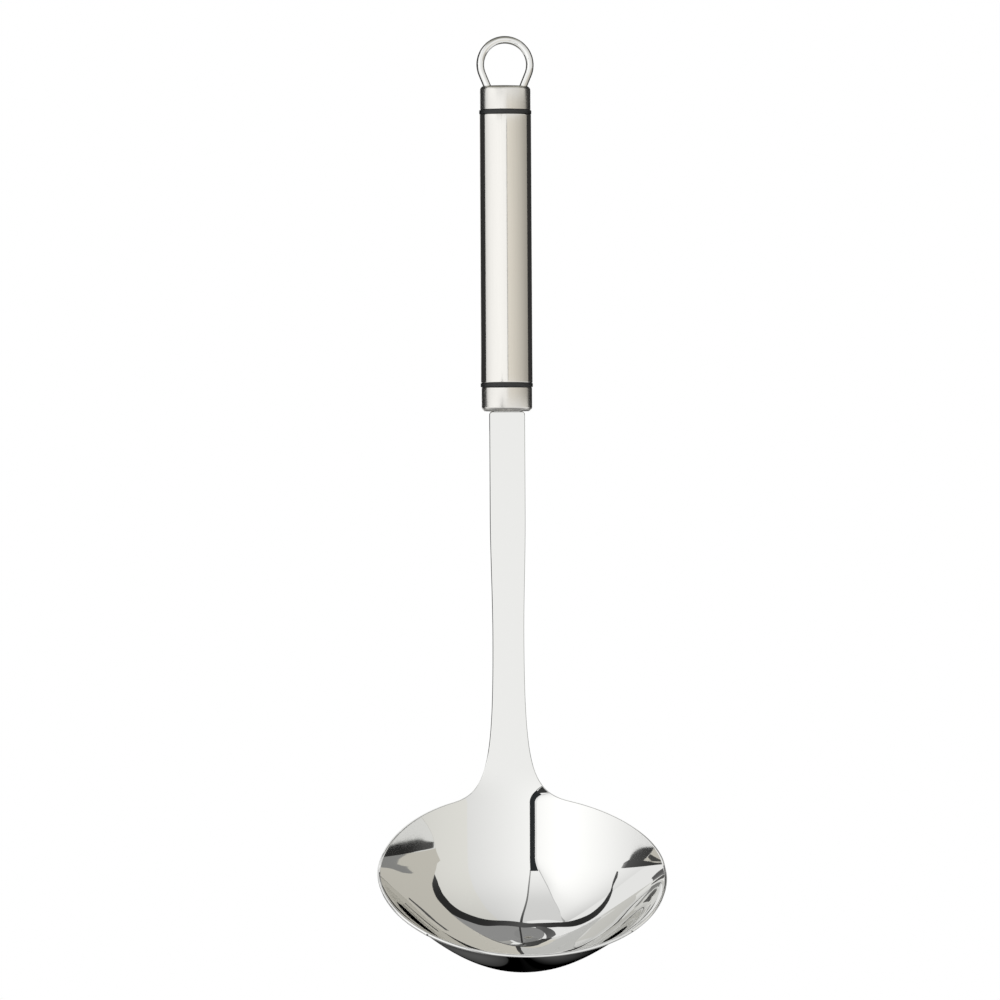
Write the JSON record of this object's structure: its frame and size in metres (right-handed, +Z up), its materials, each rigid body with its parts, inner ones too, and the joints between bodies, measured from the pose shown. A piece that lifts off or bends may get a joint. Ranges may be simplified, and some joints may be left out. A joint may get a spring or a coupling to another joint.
{
  "type": "ladle",
  "caption": "Soup ladle with a tilted oval bowl pressed in one piece with its flat shank, an oval tube handle with rubber rings and end caps, and a wire hanging loop.",
  "frame": {"origin": "hang point: the inside top of the wire loop, on the handle's middle plane", "axes": "+Z up along the handle, -Y the side that the bowl opens to, +X to the right seen from that side"},
  "size_m": [0.1032, 0.065, 0.3336],
  "materials": {
    "polished_steel": "mirror-polished stainless steel",
    "satin_steel": "stainless steel with a fine satin brush along the handle",
    "black_rubber": "moulded black rubber, matt",
    "grey_nylon": "moulded grey nylon, hidden inside the handle"
  },
  "bodies": {
    "root": {"bowl_and_shank": "polished_steel", "hanging_loop": "polished_steel", "handle_tube": "satin_steel", "upper_cap": "satin_steel", "lower_cap": "satin_steel", "tang_pin": "satin_steel", "upper_ring": "black_rubber", "lower_ring": "black_rubber", "upper_plug": "grey_nylon", "lower_plug": "grey_nylon"}
  },
  "joints": []
}
